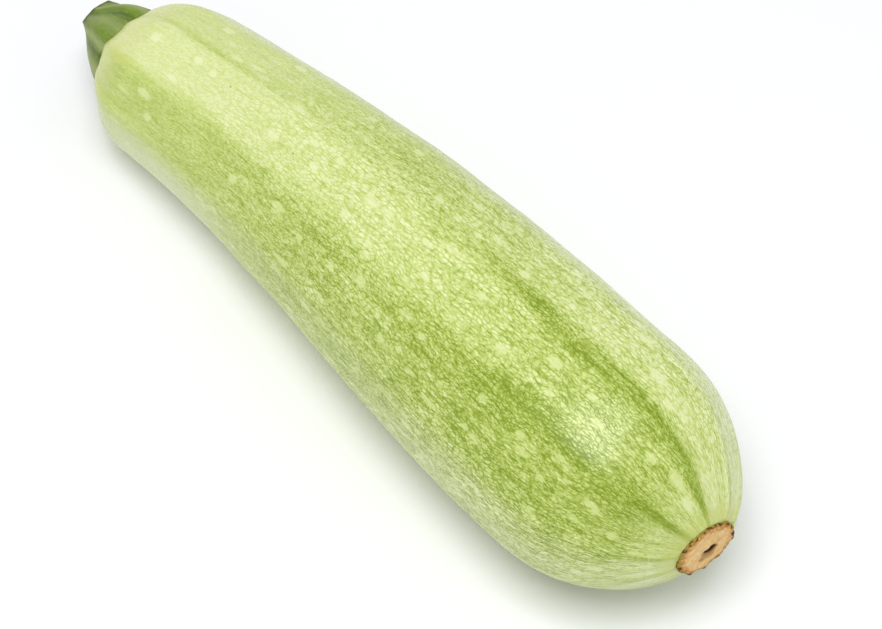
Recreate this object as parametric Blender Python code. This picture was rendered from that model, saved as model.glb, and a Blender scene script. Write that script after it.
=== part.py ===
"""A white marrow lying on its side: ribbed fruit, cut stem and dried blossom scar.

Standalone Blender script in metres, +Z up.  The fruit lies along X with its stem at -X
and its blossom end at +X, and it rests on a narrow flat strip of its underside at Z = 0.
The origin is on the resting surface, below the middle of the whole object.
"""
import math

import bmesh
import bpy
import numpy as np

# Fruit.  "share" means a share of FRUIT_LENGTH, counted from the stem face.
FRUIT_LENGTH = 0.232
NECK_RADIUS = 0.0239
BELLY_RADIUS = 0.0344
BELLY_SHARE = 0.78
TAPER_POWER = 1.58
STEM_FACE_RADIUS = 0.0114
SHOULDER_SHARE = 0.085
SHOULDER_POWER = 2.0
SHOULDER_ROOT = 0.8
BLOSSOM_FACE_RADIUS = 0.0095
NOSE_SHARE = 0.19
NOSE_POWER = 2.5
NOSE_ROOT = 0.8
NOSE_TILT = 0.12
NOSE_TILT_SHARE = 0.08
BOW = 0.0026
SKEW = 0.0020
GROUND_PRESS = 0.0010

# Ribs: rounded ridges that run from the stem to the blossom scar.
RIB_COUNT = 10
RIB_START = math.radians(-3.0)
RIB_TWIST = math.radians(7.0)
RIB_HEIGHT_MIDDLE = 0.00022
RIB_HEIGHT_ENDS = 0.00045
RIB_OVERTONE = 0.25

# Stem: a five-angled stub that flares out into a skirt over the fruit's shoulder.
GAP = 0.0003
STEM_LENGTH = 0.0180
STEM_CUT_RADIUS = 0.0049
STEM_BASE_RADIUS = 0.0140
STEM_FLARE_POWER = 1.6
STEM_FLARE_ROOT = 1.3
STEM_SKIRT_DROP = 0.0001
STEM_RIDGE_COUNT = 5
STEM_RIDGE_START = math.radians(45.0)
STEM_RIDGE_HEIGHT = 0.0007
STEM_TWIST = math.radians(50.0)
STEM_CUT_TILT = 0.41
STEM_LEAN_Y = 0.0013
STEM_LEAN_Z = 0.0006

# Blossom scar: a low corky disc with a raised lip and a shallow hollow.
SCAR_RADIUS = 0.0091
SCAR_THICKNESS = 0.0013
SCAR_FACE_TILT = 0.05
SCAR_WAVE = 0.03

# Mesh resolution.
FRUIT_SIDES = 50
FRUIT_BANDS = 40
STEM_SIDES = 40
STEM_BANDS = 9
SCAR_SIDES = 36


def clear_scene():
    """Remove every object of the open scene."""
    for old in list(bpy.data.objects):
        bpy.data.objects.remove(old, do_unlink=True)


def linear(hex_colour):
    """Turn an sRGB hex colour into a linear RGBA tuple."""
    channels = [int(hex_colour[i:i + 2], 16) / 255.0 for i in (1, 3, 5)]
    values = [c / 12.92 if c <= 0.04045 else ((c + 0.055) / 1.055) ** 2.4 for c in channels]
    return (*values, 1.0)


def make_material(name, hex_colour, roughness):
    """Return a Principled material with a plain colour and roughness."""
    material = bpy.data.materials.new(name)
    material.use_nodes = True
    shader = material.node_tree.nodes["Principled BSDF"]
    shader.inputs["Base Color"].default_value = linear(hex_colour)
    shader.inputs["Roughness"].default_value = roughness
    shader.inputs["Metallic"].default_value = 0.0
    return material


def rib_wave(angle, count):
    """Ridge height round the axis, 1 + overtone on a ridge and lower between ridges."""
    return np.cos(count * angle) + RIB_OVERTONE * np.cos(2 * count * angle)


def fruit_profile(share):
    """Return the axis height and the radius at each share of the length.

    The height rises from the neck to the belly along a sine quarter wave.  The radius
    follows it, and is drawn in at each end by a super-ellipse shaped cap.
    """
    rise = np.sin(0.5 * math.pi * np.clip(share / BELLY_SHARE, 0.0, 1.0)) ** TAPER_POWER
    height = NECK_RADIUS + (BELLY_RADIUS - NECK_RADIUS) * rise
    shoulder = 1.0 - np.clip(share / SHOULDER_SHARE, 0.0, 1.0)
    shoulder = (1.0 - shoulder ** SHOULDER_POWER) ** SHOULDER_ROOT
    nose = np.clip((share - 1.0 + NOSE_SHARE) / NOSE_SHARE, 0.0, 1.0)
    nose = (1.0 - nose ** NOSE_POWER) ** NOSE_ROOT
    radius = STEM_FACE_RADIUS + (height - STEM_FACE_RADIUS) * shoulder
    radius = BLOSSOM_FACE_RADIUS + (radius - BLOSSOM_FACE_RADIUS) * nose
    return height, radius


def fruit_axis_y(share):
    """Sideways place of the axis: a long bow with a slight S in it."""
    return BOW * 4.0 * share * (1.0 - share) + SKEW * np.sin(2.0 * math.pi * share)


def fruit_rings():
    """Rings of fruit points about the fruit's middle.

    Each ring lies in a plane across X, and the last ones lean so that the blossom face
    looks a little sideways.
    """
    steps = np.linspace(0.0, 1.0, FRUIT_BANDS + 1)
    share = (0.5 - 0.5 * np.cos(math.pi * steps))[:, None]
    turn = np.linspace(0.0, 2.0 * math.pi, FRUIT_SIDES, endpoint=False)[None, :]
    height, radius = fruit_profile(share)
    end_weight = np.abs(2.0 * share - 1.0) ** 4
    ridge = RIB_HEIGHT_MIDDLE + (RIB_HEIGHT_ENDS - RIB_HEIGHT_MIDDLE) * end_weight
    reach = radius + ridge * rib_wave(turn, RIB_COUNT)
    angle = turn + RIB_START + RIB_TWIST * (1.0 - share) ** 3
    lean = NOSE_TILT * np.clip((share - 1.0 + NOSE_TILT_SHARE) / NOSE_TILT_SHARE, 0.0, 1.0) ** 3
    x = (share - 0.5) * FRUIT_LENGTH - lean * reach * np.sin(angle)
    y = fruit_axis_y(share) - reach * np.sin(angle)
    z = height - GROUND_PRESS + reach * np.cos(angle)
    return np.stack([x, y, np.maximum(z, 0.0)], axis=-1)


def stem_rings():
    """Rings of stem points from its underside to the cut, about the stem face's middle.

    The radius falls from the base to the cut along a super-ellipse, the ridges twist and
    the cut is oblique.  The first two rings make the hollow underside, which follows the
    fruit's shoulder with a clear gap.
    """
    way = np.linspace(0.0, 1.0, STEM_BANDS + 1)
    flare = (1.0 - way ** STEM_FLARE_POWER) ** STEM_FLARE_ROOT
    outer = STEM_CUT_RADIUS + (STEM_BASE_RADIUS - STEM_CUT_RADIUS) * flare
    radius = np.concatenate([[STEM_FACE_RADIUS], outer])[:, None]
    along = np.concatenate([[0.0], way])[:, None]
    x = -GAP - along * (STEM_LENGTH - GAP)
    x[1] = STEM_SKIRT_DROP
    turn = np.linspace(0.0, 2.0 * math.pi, STEM_SIDES, endpoint=False)[None, :]
    reach = radius + STEM_RIDGE_HEIGHT * rib_wave(turn, STEM_RIDGE_COUNT)
    reach[0] = STEM_FACE_RADIUS
    angle = turn + STEM_RIDGE_START + STEM_TWIST * along ** 3
    x = x + STEM_CUT_TILT * along ** 3 * reach * np.cos(angle)
    y = STEM_LEAN_Y * along ** 2 - reach * np.sin(angle)
    z = STEM_LEAN_Z * along ** 2 + reach * np.cos(angle)
    return np.stack([x, y, z], axis=-1)


def scar_rings():
    """Rings of scar points from its back to its hollow, about the blossom face's middle.

    Each ring is a share of the scar's radius at a share of its thickness: the back, the
    bulging side, the raised lip, and the face that dips towards the middle.  The back leans
    sideways with the blossom face, and the face also looks a little up.
    """
    reach_shares = np.array([0.95, 1.03, 1.0, 0.88, 0.55, 0.22])[:, None]
    depth_shares = np.array([0.0, 0.35, 0.8, 1.0, 0.85, 0.6])[:, None]
    turn = np.linspace(0.0, 2.0 * math.pi, SCAR_SIDES, endpoint=False)[None, :]
    wave = 1.0 + SCAR_WAVE * (np.sin(3.0 * turn + 0.6) + 0.6 * np.sin(5.0 * turn + 2.0)) / 1.6
    reach = SCAR_RADIUS * reach_shares * wave
    y, z = -reach * np.sin(turn), reach * np.cos(turn)
    x = GAP + SCAR_THICKNESS * depth_shares + NOSE_TILT * y - SCAR_FACE_TILT * depth_shares * z
    return np.stack([x, y, z], axis=-1)


def loft(name, rings, material, parent, place):
    """Skin the rings into one closed body, with a flat cap on its first and last ring."""
    form = bmesh.new()
    loops = [[form.verts.new(point) for point in ring] for ring in rings.tolist()]
    sides = len(loops[0])
    for low, high in zip(loops[:-1], loops[1:]):
        for i in range(sides):
            j = (i + 1) % sides
            form.faces.new((low[i], low[j], high[j], high[i]))
    form.faces.new(loops[0])
    form.faces.new(loops[-1])
    bmesh.ops.recalc_face_normals(form, faces=form.faces)
    mesh = bpy.data.meshes.new(name)
    form.to_mesh(mesh)
    form.free()
    mesh.shade_smooth()
    mesh.set_sharp_from_angle(angle=math.radians(50.0))
    mesh.materials.append(material)
    piece = bpy.data.objects.new(name, mesh)
    piece.parent = parent
    piece.location = place
    bpy.context.collection.objects.link(piece)
    return piece


def build():
    """Make the fruit, the stem and the scar under one empty at the fruit's middle."""
    clear_scene()
    fruit, stem, scar = fruit_rings(), stem_rings(), scar_rings()
    across = 0.5 * (float(fruit[..., 1].min()) + float(fruit[..., 1].max()))
    along = 0.5 * (float(stem[..., 0].min()) + float(scar[..., 0].max()))
    middle = bpy.data.objects.new("marrow_middle", None)
    middle.location = (-along, -across, 0.0)
    bpy.context.collection.objects.link(middle)

    skin = make_material("fruit_skin", "#C3DA7E", 0.35)
    green = make_material("stem_green", "#6B8F45", 0.55)
    cork = make_material("scar_cork", "#C79A5C", 0.85)
    half = 0.5 * FRUIT_LENGTH
    stem_place = (-half, 0.0, NECK_RADIUS - GROUND_PRESS)
    scar_place = (half, 0.0, BELLY_RADIUS - GROUND_PRESS)
    loft("fruit", fruit, skin, middle, (0.0, 0.0, 0.0))
    loft("stem", stem, green, middle, stem_place)
    loft("blossom_scar", scar, cork, middle, scar_place)


build()
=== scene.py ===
"""The looks of a white marrow lying on its side.

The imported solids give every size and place.  Three finer skins stand for them: the ribbed,
speckled fruit, the five-angled stalk and the corky scar that the flower left.  Each skin is a
grid of rings worked out with numpy, and each finish is a node material that follows the
skin through attributes measured in real millimetres.
"""
import logging
import math
from dataclasses import dataclass, field
from enum import Enum
from functools import partial
from typing import Any, Callable

import bpy
import numpy as np
from mathutils import Matrix, Vector


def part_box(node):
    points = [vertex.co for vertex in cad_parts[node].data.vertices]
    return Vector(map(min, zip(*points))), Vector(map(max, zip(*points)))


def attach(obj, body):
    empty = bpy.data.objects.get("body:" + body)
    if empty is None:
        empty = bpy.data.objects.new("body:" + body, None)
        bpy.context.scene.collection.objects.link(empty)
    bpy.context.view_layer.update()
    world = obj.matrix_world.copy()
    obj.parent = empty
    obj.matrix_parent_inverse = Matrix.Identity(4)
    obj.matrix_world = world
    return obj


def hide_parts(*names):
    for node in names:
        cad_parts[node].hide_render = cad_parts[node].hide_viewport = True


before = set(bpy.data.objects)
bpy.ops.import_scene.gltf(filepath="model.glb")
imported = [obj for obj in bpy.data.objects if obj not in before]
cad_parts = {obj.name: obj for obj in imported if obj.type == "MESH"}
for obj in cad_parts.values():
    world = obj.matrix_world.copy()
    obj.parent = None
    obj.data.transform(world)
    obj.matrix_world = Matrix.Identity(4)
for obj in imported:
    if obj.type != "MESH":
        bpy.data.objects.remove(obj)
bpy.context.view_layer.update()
LOG = logging.getLogger("marrow")
MM = 0.001
# Node settings that come up again and again; a scaled sum is first x second + third.
SOFT = {"interpolation_type": "SMOOTHSTEP"}
PRODUCT = {"operation": "MULTIPLY"}
SCALED_SUM = {"operation": "MULTIPLY_ADD"}
COLOURS = {"data_type": "RGBA"}
NUMBERS = {"data_type": "FLOAT"}


# ---------------------------------------------------------------- small tools


class Slot(Enum):
    """The record's material slots, one for each piece."""

    FRUIT = "fruit_skin"
    STALK = "stem_green"
    SCAR = "scar_cork"


def linear(hex_colour: str) -> tuple[float, float, float, float]:
    """Turn an sRGB hex colour into linear RGBA.

    Args:
        hex_colour: the colour as "#RRGGBB".

    Returns:
        Red, green, blue and an alpha of 1, all linear.
    """
    channels = [int(hex_colour[i:i + 2], 16) / 255.0 for i in (1, 3, 5)]
    values = [c / 12.92 if c <= 0.04045 else ((c + 0.055) / 1.055) ** 2.4 for c in channels]
    return (values[0], values[1], values[2], 1.0)


def smooth(values: np.ndarray, low: float, high: float) -> np.ndarray:
    """Ramp from 0 at low to 1 at high along a smoothstep, 3t^2 - 2t^3.

    Args:
        values: where the ramp is read.
        low: the value at which it leaves 0.
        high: the value at which it reaches 1.

    Returns:
        The ramp, in the shape of values.
    """
    share = np.clip((values - low) / (high - low), 0.0, 1.0)
    return share * share * (3.0 - 2.0 * share)


def bell(values: np.ndarray, width: float) -> np.ndarray:
    """Bell curve exp(-(v / width)^2), 1 at zero."""
    return np.exp(-(values / width) ** 2)


def ripple(place: np.ndarray, wavelength: float, seed: int, waves: int = 20) -> np.ndarray:
    """Smooth random relief: the mean of plane cosine waves in random directions.

    Args:
        place: points, in the units of wavelength.
        wavelength: the typical distance between two crests.
        seed: picks the directions and the phases.
        waves: how many waves are summed.

    Returns:
        Heights with a spread of about 1 round zero.
    """
    random = np.random.default_rng(seed)
    directions = random.normal(size=(waves, 3))
    directions /= np.linalg.norm(directions, axis=1, keepdims=True)
    lengths = wavelength * random.uniform(0.7, 1.5, size=(waves, 1))
    phases = random.uniform(0.0, 2.0 * math.pi, size=waves)
    turns = place @ (2.0 * math.pi * directions / lengths).T + phases
    return np.cos(turns).sum(axis=-1) * math.sqrt(2.0 / waves)


def round_turn(sides: int) -> np.ndarray:
    """Angles of one turn as a row, starting at zero, without the last one."""
    return np.linspace(0.0, 2.0 * math.pi, sides, endpoint=False)[None, :]


def loft(name: str, rings: np.ndarray) -> bpy.types.Object:
    """Skin a stack of closed rings with quads, and close both ends with a pole.

    Corner (i, j) of the grid joins ring i to ring i + 1 and side j to side j + 1, and each end
    gets a fan of triangles round a pole at the mean of its last ring.

    Args:
        name: the object's and mesh's name.
        rings: points as (ring, side, 3), each ring turning so that the skin faces outwards.

    Returns:
        The object, at the origin, shaded smooth.
    """
    count, sides = rings.shape[:2]
    index = np.arange(count * sides).reshape(count, sides)
    following = np.roll(index, -1, axis=1)
    quads = np.stack([index[:-1], following[:-1], following[1:], index[1:]], axis=-1)
    points = [rings.reshape(-1, 3)]
    corners = [quads.reshape(-1)]
    totals = [np.full((count - 1) * sides, 4)]
    poles = (count * sides, count * sides + 1)
    ends = ((following[0], index[0]), (index[-1], following[-1]))
    for pole, ring, (near, far) in zip(poles, (0, -1), ends):
        fan = np.stack([near, far, np.full(sides, pole)], axis=-1)
        points.append(rings[ring].mean(axis=0, keepdims=True))
        corners.append(fan.reshape(-1))
        totals.append(np.full(sides, 3))
    sizes = np.concatenate(totals)
    mesh = bpy.data.meshes.new(name)
    mesh.vertices.add(count * sides + len(poles))
    mesh.vertices.foreach_set("co", np.concatenate(points).astype(np.float32).ravel())
    mesh.loops.add(int(sizes.sum()))
    mesh.loops.foreach_set("vertex_index", np.concatenate(corners).astype(np.int32))
    mesh.polygons.add(len(sizes))
    starts = np.concatenate([[0], np.cumsum(sizes)[:-1]])
    mesh.polygons.foreach_set("loop_start", starts.astype(np.int32))
    mesh.update(calc_edges=True)
    mesh.shade_smooth()
    piece = bpy.data.objects.new(name, mesh)
    bpy.context.scene.collection.objects.link(piece)
    return piece


def store(piece: bpy.types.Object, name: str, values: np.ndarray) -> None:
    """Keep one number or vector per grid point as a mesh attribute.

    Args:
        piece: an object made by loft.
        name: the attribute's name, which a material reads.
        values: (ring, side) or (ring, side, 3); each pole takes its end ring's mean.
    """
    kind, key = ("FLOAT_VECTOR", "vector") if values.ndim == 3 else ("FLOAT", "value")
    poles = values[[0, -1]].mean(axis=1)
    layer = piece.data.attributes.new(name, kind, "POINT")
    flat = np.concatenate([values.ravel(), poles.ravel()])
    layer.data.foreach_set(key, flat.astype(np.float32))


def fill(node: bpy.types.Node, inputs: dict[str | int, Any]) -> None:
    """Fill or link a node's inputs.

    Args:
        node: the node.
        inputs: by socket name or number, a constant or the output socket to link from.
    """
    for name, value in inputs.items():
        if isinstance(value, bpy.types.NodeSocket):
            node.id_data.links.new(value, node.inputs[name])
        else:
            node.inputs[name].default_value = value


def add_node(tree: bpy.types.NodeTree, kind: str, settings: dict[str, Any] | None,
             inputs: dict[str | int, Any]) -> bpy.types.Node:
    """Add a node, set its properties, and fill or link its inputs.

    Args:
        tree: the node tree.
        kind: the shader node's type without its prefix, such as "Math".
        settings: properties of the node by name.
        inputs: by socket name or number, a constant or the output socket to link from.

    Returns:
        The new node.
    """
    node = tree.nodes.new("ShaderNode" + kind)
    for name, value in (settings or {}).items():
        setattr(node, name, value)
    fill(node, inputs)
    return node


def fill_ramp(node: bpy.types.Node, stops: list[tuple[float, str]]) -> bpy.types.NodeSocket:
    """Set the stops of a colour ramp.

    Args:
        node: a colour ramp node, with the two stops it starts with.
        stops: places from 0 to 1 with their sRGB colours, in order.

    Returns:
        The ramp's colour output.
    """
    elements = node.color_ramp.elements
    while len(elements) < len(stops):
        elements.new(0.5)
    for element, (place, colour) in zip(elements, stops):
        element.position = place
        element.color = linear(colour)
    return node.outputs["Color"]


def new_material(name: str) -> tuple[bpy.types.Material, bpy.types.Node, Callable[..., Any]]:
    """Start a node material.

    Args:
        name: the material's name.

    Returns:
        The material, its Principled shader, and add_node for its tree.
    """
    material = bpy.data.materials.new(name)
    material.use_nodes = True
    tree = material.node_tree
    return material, tree.nodes["Principled BSDF"], partial(add_node, tree)


def settle(piece: bpy.types.Object, material: bpy.types.Material, node: str) -> None:
    """Dress a finished piece and hand it to the frame in place of its CAD node.

    Args:
        piece: the finished piece.
        material: its finish.
        node: the CAD node that it stands for.
    """
    piece.data.materials.append(material)
    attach(piece, "root")
    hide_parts(node)
    mesh = piece.data
    LOG.info("%s: %d points, %d faces", piece.name, len(mesh.vertices), len(mesh.polygons))


# ---------------------------------------------------------------- finishes


@dataclass(frozen=True)
class MarrowRind:
    """Living cucurbit rind under its natural wax.

    The eye sees a yellow-green skin made of small cream pebbles in a darker green net, finer
    along the ribs, with larger cream flecks over them and a soft, broad, waxy gloss.
    """

    # Widths across the fruit in millimetres, and how much longer each is along it.
    pebble_width: float = 0.72
    pebble_stretch: float = 2.7
    grain_width: float = 0.46
    grain_stretch: float = 3.2
    freckle_spacing: float = 4.4
    speck_spacing: float = 13.0
    # Wandering of the pattern, as (waves per millimetre, sway in millimetres).
    sways: tuple[tuple[float, float], ...] = ((0.11, 2.4), (0.7, 0.3))
    # Features per millimetre: two ways across the fruit, and along it.
    streak_pitch: tuple[float, float, float] = (1.9, 1.9, 0.15)
    stripe_pitch: tuple[float, float, float] = (0.42, 0.42, 0.04)
    # Share of the tone that each part of the pattern moves, and the part's own middle.
    relief_tone: tuple[float, float] = (-0.85, 0.56)
    tint_tone: tuple[float, float] = (-0.25, 0.5)
    streak_tone: tuple[float, float] = (1.4, 0.5)
    stripe_tone: tuple[float, float] = (0.7, 0.5)
    # Reach of a freckle in spacings, and how much of the rind each kind of mark covers.
    freckle_reach: tuple[float, float] = (0.16, 0.36)
    freckle_cover: float = 0.62
    fleck_cover: float = 0.68
    speck_cover: float = 0.75
    # Rind colours by tone, from palest to deepest.
    tones: tuple[tuple[float, str], ...] = (
        (-0.4, "#EAF0C2"), (0.0, "#D9E1A4"), (0.25, "#CAD688"), (0.5, "#B8C96E"),
        (0.75, "#A2B550"), (1.0, "#8BA12B"), (1.4, "#748D12"))
    # Pale grey-green painted low on the sides, as painted reflection of the white floor.
    painted_sheen_colour: str = "#D8DCBA"
    cream_colour: str = "#DCDD8A"
    yellow_colour: str = "#C2C95C"
    ground_colour: str = "#E4E2A6"
    speck_colour: str = "#5E6B2A"
    roughness: float = 0.26
    net_roughness: float = 0.38
    wax_ior: float = 1.48
    pebble_height: float = 0.04 * MM
    flesh_glow: float = 0.10
    flesh_tint: tuple[float, float, float] = (1.0, 0.9, 0.35)
    flesh_depth: float = 1.5 * MM

    def build(self) -> bpy.types.Material:
        """Build the rind's node material.

        The place attribute is in millimetres on a cylinder of fixed radius, so pebbles narrow
        into streaks where the fruit draws in at its ends, as grown cells do.

        Returns:
            The material.
        """
        material, shader, add = new_material("marrow_rind")
        place = add("Attribute", {"attribute_name": "skin_place"}, {}).outputs["Vector"]
        shade, vigour, fleck, painted_sheen, cream, yellow, ground = (
            add("Attribute", {"attribute_name": name}, {}).outputs["Fac"]
            for name in ("skin_shade", "skin_vigour", "skin_fleck", "skin_bloom", "skin_cream",
                         "skin_yellow", "ground_spot"))

        # The pattern wanders by a millimetre over centimetres and quivers by a fifth of a pebble.
        grown = place
        for scale, sway in self.sways:
            drift = add("TexNoise", None, {"Vector": place, "Scale": scale, "Detail": 1.0})
            grown = add("VectorMath", SCALED_SUM, {
                0: drift.outputs["Color"], 1: (sway, sway, 1.4 * sway), 2: grown}).outputs["Vector"]

        # Two sizes of pebble: a dome over each cell's middle, less a groove along its edge.
        reliefs, tints = [], []
        for width, stretch in ((self.pebble_width, self.pebble_stretch),
                               (self.grain_width, self.grain_stretch)):
            pitch = (1.0 / width, 1.0 / width, 1.0 / (width * stretch))
            squeezed = add("VectorMath", PRODUCT, {0: grown, 1: pitch}).outputs["Vector"]
            cell, edge = (
                add("TexVoronoi", {"feature": feature}, {"Vector": squeezed, "Scale": 1.0})
                for feature in ("F1", "DISTANCE_TO_EDGE"))
            dome = add("MapRange", SOFT, {
                "Value": cell.outputs["Distance"], "From Min": 0.85, "From Max": 0.1,
                "To Max": 0.5}).outputs["Result"]
            groove = add("MapRange", SOFT, {
                "Value": edge.outputs["Distance"], "From Max": 0.2, "To Max": 0.5})
            reliefs.append(add("Math", None, {
                0: dome, 1: groove.outputs["Result"]}).outputs["Value"])
            tints.append(add("SeparateColor", None, {"Color": cell.outputs["Color"]}))

        # Lengthwise streaks finer than a pebble, and long stripes a few pebbles wide.
        streak, stripe = (
            add("TexNoise", None, {
                "Vector": add("VectorMath", PRODUCT, {0: grown, 1: pitch}).outputs["Vector"],
                "Scale": 1.0, "Detail": detail}).outputs["Fac"]
            for pitch, detail in ((self.streak_pitch, 2.0), (self.stripe_pitch, 3.0)))

        # Pebbles and grain mingle along the stripes, and grain gains where the rind is deep.
        leaning = add("Math", SCALED_SUM, {0: stripe, 1: 2.4, 2: shade}).outputs["Value"]
        fineness = add("MapRange", SOFT, {
            "Value": leaning, "From Min": 1.3, "From Max": 2.1, "To Min": 0.05, "To Max": 0.9})
        relief = add("Mix", NUMBERS, {
            "Factor": fineness.outputs["Result"], "A": reliefs[0],
            "B": reliefs[1]}).outputs["Result"]

        # Tone = the panel's shade + vigour x (pattern + stripes); each part is centred on zero.
        pattern = 0.0
        for source, (weight, centre) in (
                (relief, self.relief_tone), (tints[0].outputs["Red"], self.tint_tone),
                (streak, self.streak_tone), (stripe, self.stripe_tone)):
            part = add("Math", SCALED_SUM, {0: source, 1: weight, 2: -weight * centre})
            pattern = add("Math", None, {0: pattern, 1: part.outputs["Value"]}).outputs["Value"]
        tone = add("Math", SCALED_SUM, {0: pattern, 1: vigour, 2: shade}).outputs["Value"]

        # Freckles: soft ovals a few pebbles apart, each with its own width and strength.
        sprinkled = add("VectorMath", PRODUCT, {0: grown, 1: (1.0, 1.0, 1.0 / self.pebble_stretch)})
        spot = add("TexVoronoi", {"feature": "F1"}, {
            "Vector": sprinkled.outputs["Vector"], "Scale": 1.0 / self.freckle_spacing})
        draw = add("SeparateColor", None, {"Color": spot.outputs["Color"]})
        narrow, wide = self.freckle_reach
        reach = add("MapRange", None, {
            "Value": draw.outputs["Green"], "To Min": narrow, "To Max": wide}).outputs["Result"]
        ratio = add("Math", {"operation": "DIVIDE"}, {0: spot.outputs["Distance"], 1: reach})
        oval = add("MapRange", SOFT, {
            "Value": ratio.outputs["Value"], "From Min": 1.15, "From Max": 0.35})
        kept = add("MapRange", SOFT, {
            "Value": draw.outputs["Red"], "From Min": 0.2, "From Max": 0.8,
            "To Max": self.freckle_cover}).outputs["Result"]
        freckle = add("Math", PRODUCT, {0: oval.outputs["Result"], 1: kept}).outputs["Value"]

        # Flecks take their place from the mesh and get a ragged edge from the pebbles.
        ragged = add("Math", SCALED_SUM, {0: relief, 1: 0.14, 2: fleck}).outputs["Value"]
        blot = add("MapRange", SOFT, {
            "Value": ragged, "From Min": 0.38, "From Max": 0.80,
            "To Max": self.fleck_cover}).outputs["Result"]
        marks = add("Math", {"operation": "MAXIMUM"}, {0: freckle, 1: blot}).outputs["Value"]
        paler = add("Math", SCALED_SUM, {0: shade, 1: 0.6, 2: -0.30}).outputs["Value"]
        marked = add("Mix", NUMBERS, {"Factor": marks, "A": tone, "B": paler}).outputs["Result"]
        low, high = self.tones[0][0], self.tones[-1][0]
        reading = add("MapRange", None, {"Value": marked, "From Min": low, "From Max": high})
        painted = fill_ramp(
            add("ValToRGB", None, {"Fac": reading.outputs["Result"]}),
            [((tone_at - low) / (high - low), colour) for tone_at, colour in self.tones])

        # Painted reflection of the white floor low on the sides, cream and yellow at the ends, the
        # ground spot, specks.
        dust = add("TexVoronoi", {"feature": "F1"}, {
            "Vector": place, "Scale": 1.0 / self.speck_spacing})
        speck = add("MapRange", SOFT, {
            "Value": dust.outputs["Distance"], "From Min": 0.028, "From Max": 0.014,
            "To Max": self.speck_cover}).outputs["Result"]
        for cover, colour in ((painted_sheen, self.painted_sheen_colour), (cream, self.cream_colour),
                              (yellow, self.yellow_colour), (ground, self.ground_colour),
                              (speck, self.speck_colour)):
            painted = add("Mix", COLOURS, {0: cover, 6: painted, 7: linear(colour)}).outputs[2]

        # Pebbles stand a few hundredths of a millimetre proud of the rougher net.
        bump = add("Bump", None, {
            "Strength": 0.6, "Distance": self.pebble_height, "Height": relief})
        gloss = add("MapRange", None, {
            "Value": relief, "From Min": 0.2, "From Max": 0.7, "To Min": self.net_roughness,
            "To Max": self.roughness})
        fill(shader, {
            "Base Color": painted, "Normal": bump.outputs["Normal"],
            "Roughness": gloss.outputs["Result"], "IOR": self.wax_ior,
            "Subsurface Weight": self.flesh_glow, "Subsurface Radius": self.flesh_tint,
            "Subsurface Scale": self.flesh_depth})
        return material


@dataclass(frozen=True)
class StalkRind:
    """Tough, faintly downy stalk of a cucurbit.

    The eye sees a mid green with paler, dusty ridges, fine lengthwise fibres, and a dry pale
    green cut with a darker ring of bundles and a dull brown-green rim.
    """

    deep: str = "#3F561F"
    middle: str = "#5B7524"
    vivid: str = "#718C1E"
    ridge: str = "#9DA96A"
    rim: str = "#4C5428"
    cut: str = "#B7BE86"
    cut_ring: str = "#7E8F4C"
    # Patches and fibres per millimetre round the stalk, and how much shorter along it.
    patch_pitch: float = 0.32
    fibre_pitch: float = 2.1
    fibre_squeeze: float = 0.16
    fibre_height: float = 0.3 * MM
    roughness: float = 0.55
    down: float = 0.03

    def build(self) -> bpy.types.Material:
        """Build the stalk's node material.

        Returns:
            The material.
        """
        material, shader, add = new_material("stalk_rind")
        place = add("Attribute", {"attribute_name": "stalk_place"}, {}).outputs["Vector"]
        ridge, cut, ring, rim = (
            add("Attribute", {"attribute_name": name}, {}).outputs["Fac"]
            for name in ("stalk_ridge", "stalk_cut", "stalk_ring", "stalk_rim"))
        fibres = add("VectorMath", PRODUCT, {0: place, 1: (1.0, 1.0, self.fibre_squeeze)})
        patch, thread = (
            add("TexNoise", None, {
                "Vector": fibres.outputs["Vector"], "Scale": pitch, "Detail": 3.0}).outputs["Fac"]
            for pitch in (self.patch_pitch, self.fibre_pitch))
        painted = fill_ramp(add("ValToRGB", None, {"Fac": patch}),
                            [(0.34, self.deep), (0.48, self.middle), (0.62, self.vivid)])

        # Pale fibres, then dusty ridges with the fibres in them, then the rim and the cut.
        strand = add("MapRange", None, {
            "Value": thread, "From Min": 0.5, "From Max": 0.75, "To Max": 0.3}).outputs["Result"]
        dusty = add("Math", {"operation": "MULTIPLY_ADD", "use_clamp": True},
                    {0: thread, 1: 0.7, 2: -0.35}).outputs["Value"]
        dusted = add("Math", {"use_clamp": True}, {0: ridge, 1: dusty}).outputs["Value"]
        face = add("Mix", COLOURS, {0: ring, 6: linear(self.cut), 7: linear(self.cut_ring)})
        for cover, colour in ((strand, linear(self.ridge)), (dusted, linear(self.ridge)),
                              (rim, linear(self.rim)), (cut, face.outputs[2])):
            painted = add("Mix", COLOURS, {0: cover, 6: painted, 7: colour}).outputs[2]
        bump = add("Bump", None, {
            "Strength": 0.8, "Distance": self.fibre_height, "Height": thread})
        fill(shader, {
            "Base Color": painted, "Normal": bump.outputs["Normal"], "Roughness": self.roughness,
            "IOR": 1.45, "Specular IOR Level": 0.3, "Sheen Weight": self.down,
            "Sheen Roughness": 0.4})
        return material


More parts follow.
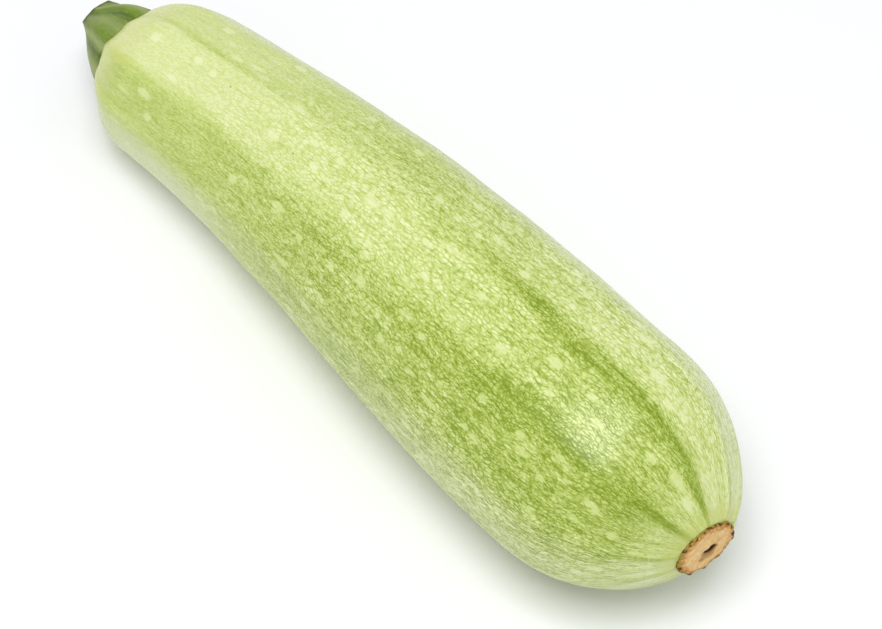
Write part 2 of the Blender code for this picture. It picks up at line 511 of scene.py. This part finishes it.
@dataclass(frozen=True)
class ScarCork:
    """Dry cork that healed over where the flower was.

    The eye sees a matt tan face with fine grain, a burnt orange lip towards the skin, dark
    brown crumbs along its edge and a pit painted nearly black as shade, in a ring of painted brown
    shade.
    """

    face: str = "#DDB06A"
    face_light: str = "#EBCB94"
    lip: str = "#B07C30"
    olive: str = "#8A8228"
    crumb: str = "#5C3012"
    # Painted shade: the brown ring round each pit and its nearly black middle.
    hollow_shade: str = "#8E6428"
    pit_shade: str = "#241006"
    # Grain and crumbs per millimetre.
    grain_pitch: float = 0.9
    crumb_pitch: float = 1.7
    grain_height: float = 0.3 * MM
    roughness: float = 0.85

    def build(self) -> bpy.types.Material:
        """Build the cork's node material.

        Returns:
            The material.
        """
        material, shader, add = new_material("scar_cork")
        place = add("Attribute", {"attribute_name": "scar_place"}, {}).outputs["Vector"]
        lip, dark, skirt, pit_shade = (
            add("Attribute", {"attribute_name": name}, {}).outputs["Fac"]
            for name in ("scar_lip", "scar_dark", "scar_skirt", "scar_pit"))
        grain, crumbs = (
            add("TexNoise", None, {"Vector": place, "Scale": pitch, "Detail": 5.0}).outputs["Fac"]
            for pitch in (self.grain_pitch, self.crumb_pitch))
        painted = fill_ramp(add("ValToRGB", None, {"Fac": grain}),
                            [(0.32, self.face), (0.66, self.face_light)])

        # The lip's and the dark edge's borders are torn by the crumbs; the pit's is clean.
        torn = add("Math", SCALED_SUM, {0: crumbs, 1: 1.3, 2: -0.65}).outputs["Value"]
        torn_lip, torn_dark = (
            add("Math", {"use_clamp": True}, {0: cover, 1: torn}).outputs["Value"]
            for cover in (lip, dark))
        # The pits and the rings round them are painted darker, as shade in the hollows.
        lip_mask, dark_mask, hollow_shade_mask, pit_shade_mask = (
            add("MapRange", SOFT, {
                "Value": cover, "From Min": start, "From Max": end,
                "To Max": share}).outputs["Result"]
            for cover, start, end, share in (
                (torn_lip, 0.1, 0.95, 1.0), (torn_dark, 0.5, 0.9, 1.0),
                (pit_shade, 0.05, 0.45, 0.75), (pit_shade, 0.5, 0.8, 0.95)))
        for cover, colour in ((lip_mask, self.lip), (skirt, self.olive), (dark_mask, self.crumb),
                              (hollow_shade_mask, self.hollow_shade), (pit_shade_mask, self.pit_shade)):
            painted = add("Mix", COLOURS, {0: cover, 6: painted, 7: linear(colour)}).outputs[2]
        bump = add("Bump", None, {
            "Strength": 0.8, "Distance": self.grain_height, "Height": grain})
        fill(shader, {
            "Base Color": painted, "Normal": bump.outputs["Normal"],
            "Roughness": self.roughness, "IOR": 1.4})
        return material


@dataclass(frozen=True)
class PaleCard:
    """Matt white card for the floor, which gives a soft contact shadow."""

    colour: str = "#F4F5F8"
    roughness: float = 0.8

    def build(self) -> bpy.types.Material:
        """Build the card's plain, barely shiny material."""
        material, shader, _ = new_material("pale_card")
        fill(shader, {"Base Color": linear(self.colour), "Roughness": self.roughness,
                      "Specular IOR Level": 0.2})
        return material


# ---------------------------------------------------------------- the marrow


@dataclass
class MarrowFruit:
    """The fruit: a tapered, ribbed body with a blunt shoulder and a rounded nose.

    Lengths are in metres and shares are of the fruit's length, counted from the stem face.
    Angles turn round the long axis from straight up towards -Y.
    """

    press: float = 1.0 * MM
    # Neck, stem face and nose face as shares of the belly's radius.
    neck_ratio: float = 0.695
    stem_face_ratio: float = 0.331
    nose_face_ratio: float = 0.276
    belly_share: float = 0.78
    taper_power: float = 1.58
    shoulder_share: float = 0.085
    shoulder_root: float = 0.8
    nose_share: float = 0.19
    nose_power: float = 2.5
    nose_root: float = 0.8
    nose_tilt: float = 0.12
    nose_tilt_share: float = 0.08
    bow: float = 2.6 * MM
    skew: float = 2.0 * MM
    rib_count: int = 10
    rib_start: float = math.radians(-3.0)
    rib_twist: float = math.radians(7.0)
    rib_middle: float = 0.22 * MM
    rib_ends: float = 0.45 * MM
    # Five blunt corners at the shoulder: height, bearing of the first, and share they reach.
    corner_height: float = 0.45 * MM
    corner_start: float = math.radians(43.0)
    corner_share: float = 0.06
    # Puckers round the scar as (waves round the fruit, phase, weight), fading over a share.
    puckers: tuple[tuple[int, float, float], ...] = ((17, 1.0, 1.0), (23, 2.2, 1.0), (31, 0.4, 0.7))
    pucker_height: float = 0.08 * MM
    pucker_share: float = 0.02
    # Slow relief as (height, wavelength in millimetres, seed).
    swells: tuple[tuple[float, float, int], ...] = ((0.10 * MM, 26.0, 3), (0.025 * MM, 8.0, 4))
    rings: int = 358
    sides: int = 260
    pattern_radius: float = 30.0
    pattern_start: float = math.radians(-5.0)
    # Rind tone of each panel between two ribs, 0 pale and 1 deep.
    stem_tones: tuple[float, ...] = (0.06, 0.47, 0.36, 0.24, 0.30, 0.16, 0.24, 0.34, 0.14, 0.18)
    # The middle tone of the panel on the lower near flank is deeper partly as the rind's own green,
    # partly as painted shade.
    middle_tones: tuple[float, ...] = (0.20, 0.54, 0.56, 0.30, 0.38, 0.26, 0.34, 0.44, 0.28, 0.40)
    nose_tones: tuple[float, ...] = (0.60, 0.72, 0.44, 0.32, 0.52, 0.36, 0.46, 0.58, 0.10, 0.20)
    # How much deeper each rib's band is than its panels, near the stem and near the nose.
    stem_bands: tuple[float, ...] = (0.30, 0.05, 0.08, 0.06, 0.08, 0.10, 0.06, 0.08, 0.06, 0.04)
    nose_bands: tuple[float, ...] = (0.50, 0.26, 0.06, 0.14, 0.30, 0.34, 0.24, 0.30, 0.26, 0.06)
    # Flecks as (share of the length, degrees, length and width in millimetres).
    flecks: tuple[tuple[float, float, float, float], ...] = (
        (0.08, 11, 3.5, 3.0), (0.13, -27, 4.0, 2.5), (0.15, 8, 3.0, 2.0), (0.18, 10, 2.5, 2.0),
        (0.18, -9, 5.0, 1.8), (0.14, 27, 4.0, 1.8), (0.12, 46, 5.5, 2.4), (0.14, 58, 3.2, 2.2),
        (0.24, -34, 4.5, 2.5), (0.30, 52, 3.6, 2.4), (0.31, 18, 5.0, 2.2), (0.36, 7, 4.5, 2.0),
        (0.37, -31, 4.0, 2.2), (0.38, 45, 5.0, 2.4), (0.385, 17, 3.5, 2.0), (0.405, 6, 3.5, 2.0),
        (0.43, 49, 3.0, 2.0), (0.45, -31, 3.5, 2.6), (0.463, 24, 3.2, 2.4), (0.47, 9, 3.4, 2.2),
        (0.48, 77, 5.5, 2.2), (0.49, 48, 2.8, 2.0), (0.515, 27, 3.5, 1.8), (0.53, -13, 3.4, 2.6),
        (0.537, 42, 4.5, 2.8), (0.565, -26, 4.0, 2.2), (0.565, -12, 3.0, 2.2),
        (0.568, 8, 5.0, 1.6), (0.58, 48, 2.6, 1.8), (0.60, 20, 3.2, 2.0), (0.60, 55, 3.2, 2.2),
        (0.60, -12, 3.0, 2.0), (0.628, 52, 2.4, 1.8), (0.645, 40, 3.0, 1.8), (0.665, 9, 3.6, 2.2),
        (0.677, -13, 3.6, 2.8), (0.695, 60, 8.0, 1.6), (0.728, 20, 3.8, 2.8),
        (0.737, -29, 4.0, 2.4), (0.742, -17, 2.6, 2.0), (0.75, 41, 4.0, 2.2), (0.75, 56, 2.8, 1.6),
        (0.785, 9, 4.6, 3.0), (0.805, 20, 3.0, 2.0), (0.81, 41, 3.2, 2.6), (0.82, -33, 6.0, 2.2),
        (0.822, 46, 2.8, 1.8), (0.842, 9, 3.0, 2.0), (0.855, 50, 3.0, 1.8), (0.862, -22, 4.4, 3.2),
        (0.862, 37, 3.4, 1.8), (0.897, -16, 3.4, 2.2), (0.92, 47, 2.4, 2.4), (0.928, 9, 3.2, 2.2),
        (0.945, 56, 2.4, 2.6), (0.958, 5, 4.6, 2.8), (0.978, 8, 3.2, 2.6))
    # Seeded flecks: how many in a row, and where the rows lie across a panel.
    row_flecks: int = 9
    fleck_rows: tuple[float, float] = (0.34, 0.68)
    low: Vector = field(init=False)
    high: Vector = field(init=False)

    def __post_init__(self) -> None:
        """Take the length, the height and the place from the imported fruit."""
        self.low, self.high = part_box("fruit")
        self.belly = 0.5 * (self.high.z - self.low.z + self.press) - 0.5 * self.rib_middle
        self.neck = self.neck_ratio * self.belly
        self.stem_face = self.stem_face_ratio * self.belly
        self.nose_face = self.nose_face_ratio * self.belly
        self.length = self.high.x - self.low.x - self.nose_tilt * (self.nose_face + self.rib_ends)
        self.middle_x = self.low.x + 0.5 * self.length
        share = np.linspace(0.0, 1.0, 400)
        _, radius = self.profile(share)
        side = self.axis_y(share)
        self.middle_y = 0.5 * (self.low.y + self.high.y)
        self.middle_y -= 0.5 * float((side - radius).min() + (side + radius).max())

    def profile(self, share: np.ndarray) -> tuple[np.ndarray, np.ndarray]:
        """Axis height and radius along the fruit.

        The height rises from the neck to the belly along a power of a sine quarter wave.  The
        radius follows the height, drawn in to the stem face and to the nose face by caps of
        the form (1 - t^p)^q.

        Args:
            share: places along the length, 0 at the stem face.

        Returns:
            The height of the axis over the resting line, and the radius.
        """
        way_up = np.clip(share / self.belly_share, 0.0, 1.0)
        rise = np.sin(0.5 * math.pi * way_up) ** self.taper_power
        height = self.neck + (self.belly - self.neck) * rise
        short = 1.0 - np.clip(share / self.shoulder_share, 0.0, 1.0)
        shoulder = (1.0 - short ** 2) ** self.shoulder_root
        run = np.clip((share - 1.0 + self.nose_share) / self.nose_share, 0.0, 1.0)
        nose = (1.0 - run ** self.nose_power) ** self.nose_root
        radius = self.stem_face + (height - self.stem_face) * shoulder
        return height, self.nose_face + (radius - self.nose_face) * nose

    def axis_y(self, share: np.ndarray) -> np.ndarray:
        """Sideways place of the axis: a parabola's bow plus one wave of an S."""
        return self.bow * 4.0 * share * (1.0 - share) + self.skew * np.sin(2.0 * math.pi * share)

    def axis_point(self, share: float) -> Vector:
        """The axis at one place, in the row's frame."""
        height, _ = self.profile(np.array([share]))
        side = self.axis_y(np.array([share]))
        return Vector((self.middle_x + (share - 0.5) * self.length,
                       self.middle_y + float(side[0]), float(height[0]) - self.press))

    def by_panel(self, place: np.ndarray, values: tuple[float, ...], half: float) -> np.ndarray:
        """Read one value per panel, stepping smoothly from each to the next.

        Args:
            place: angle from the first step, in panels.
            values: one value per panel, the first just after the first step.
            half: half the width of a step, in panels.

        Returns:
            The value, in the shape of place.
        """
        step = np.floor(place + 0.5).astype(int)
        blend = smooth(place - step, -half, half)
        table = np.array(values)
        return table[(step - 1) % len(values)] * (1.0 - blend) + table[step % len(values)] * blend

    def fleck_cover(self, share: np.ndarray, angle: np.ndarray, radius: np.ndarray) -> np.ndarray:
        """Cover of the larger flecks: 1 at the middle of each, falling as exp(-d^2).

        The named flecks come first, then a seeded few along two rows in each other panel.

        Args:
            share: places along the length, as a column.
            angle: true angles, as a grid.
            radius: the fruit's radius at each share, as a column.

        Returns:
            The cover, from 0 to 1, as a grid.
        """
        random = np.random.default_rng(21)
        marks = [(at, math.radians(degrees), long, wide) for at, degrees, long, wide in self.flecks]
        for panel in range(2, self.rib_count - 1):
            for row in self.fleck_rows:
                turns = (panel + row + random.normal(0.0, 0.07, self.row_flecks)) / self.rib_count
                marks.extend(zip(random.uniform(0.10, 0.95, self.row_flecks),
                                 self.rib_start + 2.0 * math.pi * turns,
                                 random.uniform(2.2, 4.4, self.row_flecks),
                                 random.uniform(1.5, 2.8, self.row_flecks)))
        cover = np.zeros_like(angle)
        for at, bearing, long, wide in marks:
            apart = (angle - bearing + math.pi) % (2.0 * math.pi) - math.pi
            across = apart * radius / (0.6 * wide * MM)
            onward = (share - at) * self.length / (0.6 * long * MM)
            cover = np.maximum(cover, np.exp(-(across ** 2 + onward ** 2)))
        return cover

    def build(self) -> bpy.types.Object:
        """Make the fruit's skin and its attributes.

        A point lies at its ring's centre plus the radius in the direction of its angle.  The
        radius carries the ribs (a cosine with an overtone), five blunt corners at the
        shoulder, puckers round the scar and a faint slow relief.  The underside is cut level,
        and the last rings lean sideways, as the scar does.

        Returns:
            The dressed fruit.
        """
        share = 0.5 - 0.5 * np.cos(math.pi * np.linspace(0.0, 1.0, self.rings))[:, None]
        turn = round_turn(self.sides)
        height, radius = self.profile(share)
        step = np.hypot(np.diff(share[:, 0]) * self.length, np.diff(radius[:, 0]))
        along = np.concatenate([[0.0], np.cumsum(step)])[:, None] / MM
        flat = np.zeros_like(turn + share)
        place = np.stack([self.pattern_radius * np.cos(turn) + flat,
                          self.pattern_radius * np.sin(turn) + flat, along + flat], axis=-1)

        rib = np.cos(self.rib_count * turn) + 0.25 * np.cos(2 * self.rib_count * turn)
        towards_ends = np.abs(2.0 * share - 1.0) ** 4
        rib_height = self.rib_middle + (self.rib_ends - self.rib_middle) * towards_ends
        angle = turn + self.rib_start + self.rib_twist * (1.0 - share) ** 3
        corner = np.cos(5.0 * (angle - self.corner_start)) * bell(share, self.corner_share)
        pucker = sum(weight * np.cos(waves * turn + phase) for waves, phase, weight in self.puckers)
        pucker = self.pucker_height * pucker * np.exp((share - 1.0) / self.pucker_share)
        slow = sum(rise * ripple(place, wavelength, seed) for rise, wavelength, seed in self.swells)
        relief = rib_height * rib + self.corner_height * corner + pucker
        reach = radius + relief + slow * smooth(share, 0.0, 0.1)

        end_way = (share - 1.0 + self.nose_tilt_share) / self.nose_tilt_share
        lean = self.nose_tilt * np.clip(end_way, 0.0, 1.0) ** 3
        x = self.middle_x + (share - 0.5) * self.length - lean * reach * np.sin(angle)
        y = self.middle_y + self.axis_y(share) - reach * np.sin(angle)
        z = np.maximum(height - self.press + reach * np.cos(angle), self.low.z)
        piece = loft("marrow_fruit", np.stack([x, y, z], axis=-1))
        store(piece, "skin_place", place)
        store(piece, "skin_fleck", self.fleck_cover(share, angle, radius))
        self.tint(piece, share, angle, place)
        settle(piece, MarrowRind().build(), "fruit")
        return piece

    def tint(self, piece: bpy.types.Object, share: np.ndarray, angle: np.ndarray,
             place: np.ndarray) -> None:
        """Give the skin its shade, vigour and covers.

        The shade is the panel's tone plus a bell of darker rind along each rib.  Panels and
        bands follow the true angle, wandering by a degree or so.  Vigour is how strongly the
        net shows: weak by the stem, strong from half way, weaker below and on pale rind.
        Covers are how much of a second colour lies over the rind, the sheen being a painted
        reflection.

        Args:
            piece: the fruit.
            share: places along the length, as a column.
            angle: true angles, as a grid.
            place: the pattern's own coordinates, in millimetres.
        """
        down = -np.cos(angle)
        flat = np.zeros_like(angle)
        first_half, last_half = smooth(share, 0.12, 0.5), smooth(share, 0.5, 0.86)
        wander = math.radians(1.0) * ripple(place * np.array([1.0, 1.0, 0.5]), 24.0, seed=6)
        panel = (angle - self.pattern_start + wander) * self.rib_count / (2.0 * math.pi)
        # By the stem, the first rib's band lies a little further round.
        panel = panel - 0.13 * bell(panel - 1.0, 0.45) * (1.0 - smooth(share, 0.25, 0.6))
        tone = (self.by_panel(panel, self.stem_tones, 0.2) * (1.0 - first_half)
                + self.by_panel(panel, self.middle_tones, 0.26) * (first_half - last_half)
                + self.by_panel(panel, self.nose_tones, 0.3) * last_half)
        near_rib = (panel + 0.5) % 1.0 - 0.5
        at_stem, at_nose = 1.0 - smooth(share, 0.16, 0.38), smooth(share, 0.45, 0.86)
        bands = (self.by_panel(panel + 0.5, self.stem_bands, 0.3) * at_stem
                 + self.by_panel(panel + 0.5, self.nose_bands, 0.3) * at_nose)
        broken = 1.0 + 0.3 * ripple(place * np.array([1.0, 1.0, 0.16]), 4.0, seed=7)
        shade = tone + bands * broken * bell(near_rib, 0.09 + 0.08 * smooth(share, 0.5, 0.9))

        lower_flank = smooth(-np.cos(angle - math.radians(20.0)), -0.85, -0.5)
        vigour = (0.36 + 0.64 * smooth(share, 0.03, 0.55)) * (1.0 - 0.3 * smooth(share, 0.9, 1.0))
        vigour = vigour * (1.0 - 0.1 * smooth(down, -0.3, 0.3))
        vigour = vigour * (0.8 + 0.2 * smooth(shade, 0.1, 0.5))
        vigour = vigour * (1.0 + 0.4 * smooth(share, 0.5, 0.8) * lower_flank)

        # A pale painted sheen low on the sides stands for the white floor's reflection: strong by
        # the stem, gone in the middle, faint towards the nose.
        painted_sheen = 0.55 * (1.0 - smooth(share, 0.2, 0.34)) + 0.2 * smooth(share, 0.55, 0.7)
        painted_sheen = painted_sheen * smooth(down, -0.3, 0.1)
        cream = 0.6 * (1.0 - smooth(share, 0.015, 0.075))
        patchy = 0.6 + 0.4 * ripple(place, 12.0, seed=8)
        yellow = 0.7 * bell(near_rib, 0.12) * bell(share - 0.045, 0.03) * patchy
        yellow = yellow + 0.5 * smooth(share, 0.986, 0.999)
        ground = 0.75 * smooth(down, 0.86, 0.97) * smooth(share, 0.05, 0.25)
        ground = ground * (1.0 - smooth(share, 0.8, 0.95))

        # Pale and dark rays run into the scar.
        by_scar = smooth(share, 0.945, 0.985)
        rays = 0.5 * np.sin(23.0 * angle + 1.5 * np.sin(7.0 * angle)) * np.cos(9.0 * angle + 1.0)
        shade = shade * (1.0 - 0.45 * by_scar)
        shade = shade + by_scar * (0.35 * bell(near_rib, 0.1) - 0.3 * rays)
        for name, values in (("skin_shade", shade), ("skin_vigour", vigour), ("skin_bloom", painted_sheen),
                             ("skin_cream", cream), ("skin_yellow", np.clip(yellow, 0.0, 1.0)),
                             ("ground_spot", ground)):
            store(piece, name, values + flat)


@dataclass
class Stalk:
    """The cut stalk: five strong ridges and five weaker ones, flaring over the shoulder."""

    fruit: MarrowFruit
    major_start: float = math.radians(45.0)
    minor_lag: float = math.radians(5.0)
    twist: float = math.radians(50.0)
    cut_tilt: float = 0.41
    tip_ratio: float = 0.36
    lean_y: float = 1.3 * MM
    lean_z: float = 0.6 * MM
    skirt: float = 1.1 * MM
    inset: float = 0.25 * MM
    ridge_height: float = 0.55 * MM
    dish: float = 0.45 * MM
    rim_round: float = 0.12 * MM
    # Radius that the pattern is laid out on, in millimetres, and bearing of a dusty side.
    pattern_radius: float = 8.0
    dusty_side: float = math.radians(48.0)
    rings: int = 120
    face_rings: int = 30
    sides: int = 240

    def build(self) -> bpy.types.Object:
        """Make the stalk's skin and its attributes.

        Along the stalk the radius falls from the skirt to the cut as (1 - t^p)^q.  Round it,
        a pentagon's cosine and ten narrow ridges are added, which twist towards the cut.  The
        cut is an oblique, slightly dished face of shrinking rings, and the skirt turns in
        under itself, inside the fruit.

        Returns:
            The dressed stalk.
        """
        low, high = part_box("stem")
        root = self.fruit.axis_point(0.0)
        length = root.x - low.x - self.cut_tilt * 0.20 * (high.y - low.y)
        base = 0.5 * (high.y - low.y) - 0.45 * MM
        tip = self.tip_ratio * base
        turn = round_turn(self.sides)
        way = np.linspace(0.0, 1.0, self.rings)[:, None]
        radius = tip + (base - tip) * (1.0 - way ** 1.6) ** 1.3
        ridge_major = (0.5 + 0.5 * np.cos(5.0 * turn)) ** 6
        ridge_minor = (0.5 - 0.5 * np.cos(5.0 * (turn - self.minor_lag))) ** 4
        ridge = self.ridge_height * (ridge_major + 0.6 * ridge_minor) * (1.0 - 0.35 * way)
        reach = radius * (1.0 + 0.035 * np.cos(5.0 * turn)) + ridge - self.inset
        angle = turn + self.major_start + self.twist * way ** 3
        x = self.skirt * (1.0 - way) ** 2 * (0.55 + 0.45 * ridge_major) - length * way
        x = x + self.cut_tilt * way ** 3 * reach * np.cos(angle)
        y = self.lean_y * way ** 2 - reach * np.sin(angle)
        z = self.lean_z * way ** 2 + reach * np.cos(angle)
        outer = np.stack([x, y, z], axis=-1)

        # The cut: rings that shrink to its middle, rounded at the rim and dished inside it.
        inward = np.linspace(0.97, 0.04, self.face_rings)[:, None, None]
        tip_centre = outer[-1].mean(axis=0)
        face = tip_centre + (outer[-1] - tip_centre) * inward
        inner = smooth(1.0 - inward[..., 0], 0.0, 0.12)
        face[..., 0] += self.dish * (1.0 - inward[..., 0] ** 2) * inner
        face[..., 0] -= self.rim_round * (1.0 - inner)

        # The skirt turned in: two smaller rings inside the fruit.
        root_centre = outer[0].mean(axis=0)
        under = root_centre + (outer[0] - root_centre) * np.array([0.5, 0.85])[:, None, None]
        under[..., 0] = 1.5 * MM
        rings = np.concatenate([under, outer, face]) + np.array(root)
        piece = loft("marrow_stalk", rings[:, ::-1])

        # The grid runs the other way round, so that the skin faces outwards.
        flat = np.zeros(rings.shape[:2])
        skirt_rings, cut_rings = np.zeros(len(under)), np.full(self.face_rings, length / MM)
        walk = np.concatenate([skirt_rings, way[:, 0] * length / MM, cut_rings])[:, None]
        place = np.stack([self.pattern_radius * np.cos(turn) + flat,
                          self.pattern_radius * np.sin(turn) + flat, walk + flat], axis=-1)
        is_cut = (np.arange(len(rings)) >= len(under) + self.rings)[:, None].astype(float)
        inset = np.concatenate([np.ones(len(under) + self.rings), inward[:, 0, 0]])[:, None]
        bundles = bell(inset - 0.72, 0.13) * (0.55 + 0.45 * np.cos(10.0 * turn))
        bundles = bundles + 0.6 * bell(inset - 1.0, 0.1)
        paleness = (0.8 * ridge_major ** 2 + 0.6 * ridge_minor
                    + 0.3 * smooth(np.cos(turn - self.dusty_side), 0.75, 0.95))
        rim = 0.75 * smooth(walk, 0.9 * length / MM, 0.985 * length / MM)
        store(piece, "stalk_place", place[:, ::-1])
        for name, values in (("stalk_ridge", np.clip(paleness, 0.0, 1.0) * (1.0 - is_cut)),
                             ("stalk_rim", rim), ("stalk_cut", is_cut),
                             ("stalk_ring", np.clip(bundles, 0.0, 1.0))):
            store(piece, name, (values + flat)[:, ::-1])
        settle(piece, StalkRind().build(), "stem")
        return piece


@dataclass
class FlowerScar:
    """The corky disc where the flower was, torn round its edge."""

    fruit: MarrowFruit
    rings: int = 170
    sides: int = 260
    face_tilt: float = 0.05
    # Waves of the outline as (waves round the scar, phase, height as a share of the radius).
    waves: tuple[tuple[int, float, float], ...] = (
        (3, 0.6, 0.018), (7, 2.0, 0.012), (13, 0.0, 0.012))
    # Pits as (y, z, radius, depth), in millimetres.
    pits: tuple[tuple[float, float, float, float], ...] = (
        (1.0, -0.7, 1.6, 1.2), (0.2, -1.4, 2.1, 0.3), (-1.7, -3.0, 1.0, 0.25), (3.6, 1.6, 0.8, 0.1))
    # Lumps as (degrees, width in degrees, share of the reach, height in millimetres).
    lumps: tuple[tuple[float, float, float, float], ...] = (
        (-82.0, 16.0, 0.85, 1.6), (-103.0, 7.0, 0.95, 0.5), (145.0, 5.0, 0.95, 0.5),
        (178.0, 6.0, 0.96, 0.6), (-150.0, 6.0, 0.96, 0.6), (-122.0, 4.0, 0.95, 0.4),
        (100.0, 4.0, 0.95, 0.3))

    def build(self) -> bpy.types.Object:
        """Make the scar's skin and its attributes.

        Across the disc the height falls along a super-ellipse (1 - w^n)^(1/n), sharper below
        than above.  The base leans sideways with the fruit's end, and the face also looks a
        little up.  Pits are flat-bottomed hollows, lumps are bells on the edge, and the
        outline is a wavy circle.

        Returns:
            The dressed scar.
        """
        low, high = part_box("blossom_scar")
        root = self.fruit.axis_point(1.0)
        radius = 0.245 * ((high.y - low.y) + (high.z - low.z))
        tilt = self.fruit.nose_tilt
        thickness = high.x - root.x - 0.85 * math.hypot(tilt, self.face_tilt) * radius
        turn = round_turn(self.sides)
        way = np.sin(0.5 * math.pi * np.linspace(0.01, 1.0, self.rings))[:, None]
        outline = sum(height * np.sin(count * turn + phase) for count, phase, height in self.waves)
        reach = radius * way * (1.0 + (outline - 0.025) * way ** 4)
        y_mm = -reach * np.sin(turn) / MM
        z_mm = reach * np.cos(turn) / MM
        seat = np.stack([y_mm, z_mm, 0.0 * y_mm], axis=-1)
        power = 4.2 - 1.6 * np.cos(turn - math.radians(24.0))
        dome = (1.0 - way ** power) ** (1.0 / power)
        rough = 0.06 * ripple(seat, 1.5, seed=11) + 0.10 * ripple(seat, 4.0, seed=12) - 0.12
        height = thickness * dome + rough * MM * smooth(dome, 0.0, 0.6)
        # Each pit's middle is painted dark as shade, more strongly the deeper the pit.
        pit_shade = np.zeros_like(y_mm)
        for pit_y, pit_z, pit_radius, pit_depth in self.pits:
            across = np.hypot(y_mm - pit_y, z_mm - pit_z) / pit_radius
            height = height - pit_depth * MM * np.exp(-across ** 4)
            shade_strength = min(1.0, 0.1 + 0.95 * pit_depth)
            pit_shade = np.maximum(pit_shade, shade_strength * np.exp(-((across / 1.25) ** 6)))
        lump = np.zeros_like(y_mm)
        for degrees, width, at, rise in self.lumps:
            apart = (turn - math.radians(degrees) + math.pi) % (2.0 * math.pi) - math.pi
            bump = bell(apart, math.radians(width)) * bell(way - at, 0.09)
            height = height + 0.6 * rise * MM * bump
            lump = np.maximum(lump, bump * min(1.0, 0.45 + 0.5 * rise))
        edge = smooth(way, 0.985, 1.0)
        leaning = (tilt * y_mm - self.face_tilt * dome * z_mm) * MM
        x = height * (1.0 - edge) - 0.8 * MM * edge + leaning
        rings = np.stack([root.x + x, root.y + y_mm * MM, root.z + z_mm * MM], axis=-1)
        piece = loft("marrow_scar", rings)
        placed = np.stack([y_mm, z_mm, x / MM], axis=-1)
        torn = 0.5 + 0.5 * np.clip(ripple(placed, 1.4, seed=13), -1.0, 1.0)
        store(piece, "scar_place", placed)
        store(piece, "scar_lip", smooth(way, 0.62, 0.93) * (0.65 + 0.35 * torn))
        store(piece, "scar_dark", np.clip(lump + 0.85 * smooth(way, 0.80, 0.96) * torn, 0.0, 1.0))
        store(piece, "scar_pit", pit_shade)
        store(piece, "scar_skirt", 0.8 * smooth(way, 0.9, 0.975) + 0.0 * y_mm)
        settle(piece, ScarCork().build(), "blossom_scar")
        return piece


# ---------------------------------------------------------------- the studio


@dataclass
class Studio:
    """Pale floor, white surroundings, one large soft lamp overhead, and the camera."""

    fruit: MarrowFruit
    azimuth: float = 47.44
    elevation: float = 56.0
    lens: float = 105.0
    distance: float = 0.6979
    aside: float = 12.19 * MM
    above: float = -11.6 * MM
    target_height: float = 33.0 * MM
    floor_half: float = 3.0
    world_strength: float = 0.6
    lamp_direction: tuple[float, float, float] = (0.076, -0.198, 0.977)
    lamp_distance: float = 1.1
    lamp_size: float = 0.58
    lamp_power: float = 8.0

    def build(self) -> None:
        """Make the floor, the surroundings, the lamp and the camera."""
        bpy.context.scene.view_settings.view_transform = "Standard"
        self.lay_floor()
        self.light()
        self.place_camera()
        LOG.info("studio: floor, lamp and camera")

    def lay_floor(self) -> None:
        """Lay one large square of card a hair below the marrow."""
        half = self.floor_half
        mesh = bpy.data.meshes.new("floor")
        corners = [(-half, -half), (half, -half), (half, half), (-half, half)]
        mesh.from_pydata([(x, y, -0.05 * MM) for x, y in corners], [], [(0, 1, 2, 3)])
        floor = bpy.data.objects.new("floor", mesh)
        bpy.context.scene.collection.objects.link(floor)
        floor.data.materials.append(PaleCard().build())

    def light(self) -> None:
        """Surround the scene with even white and hang the soft lamp."""
        world = bpy.data.worlds.new("studio_white")
        world.use_nodes = True
        background = world.node_tree.nodes["Background"]
        background.inputs["Color"].default_value = (1.0, 1.0, 1.0, 1.0)
        background.inputs["Strength"].default_value = self.world_strength
        bpy.context.scene.world = world
        lamp = bpy.data.lights.new("softbox", "AREA")
        lamp.shape = "SQUARE"
        lamp.size = self.lamp_size
        lamp.energy = self.lamp_power
        holder = bpy.data.objects.new("softbox", lamp)
        direction = Vector(self.lamp_direction).normalized()
        holder.location = self.fruit.axis_point(0.87) + direction * self.lamp_distance
        holder.rotation_euler = direction.to_track_quat("Z", "Y").to_euler()
        bpy.context.scene.collection.objects.link(holder)

    def place_camera(self) -> None:
        """Set the camera on its bearing, level, with its target at the fruit's middle."""
        azimuth = math.radians(self.azimuth)
        elevation = math.radians(self.elevation)
        right = Vector((math.cos(azimuth), math.sin(azimuth), 0.0))
        back = Vector((math.sin(azimuth) * math.cos(elevation),
                       -math.cos(azimuth) * math.cos(elevation), math.sin(elevation)))
        up = back.cross(right)
        target = Vector((self.fruit.middle_x, self.fruit.middle_y,
                         self.target_height - self.fruit.press))
        data = bpy.data.cameras.new("camera")
        data.lens = self.lens
        camera = bpy.data.objects.new("camera", data)
        turned = Matrix((right, up, back)).transposed().to_4x4()
        turned.translation = target + back * self.distance + right * self.aside + up * self.above
        camera.matrix_world = turned
        bpy.context.scene.collection.objects.link(camera)
        bpy.context.scene.camera = camera


def main() -> None:
    """Build the studio and the marrow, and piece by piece."""
    logging.basicConfig(level=logging.INFO, format="%(name)s: %(message)s")
    fruit = MarrowFruit()
    Studio(fruit).build()
    fruit.build()
    Stalk(fruit).build()
    FlowerScar(fruit).build()


if __name__ == "__main__":
    main()
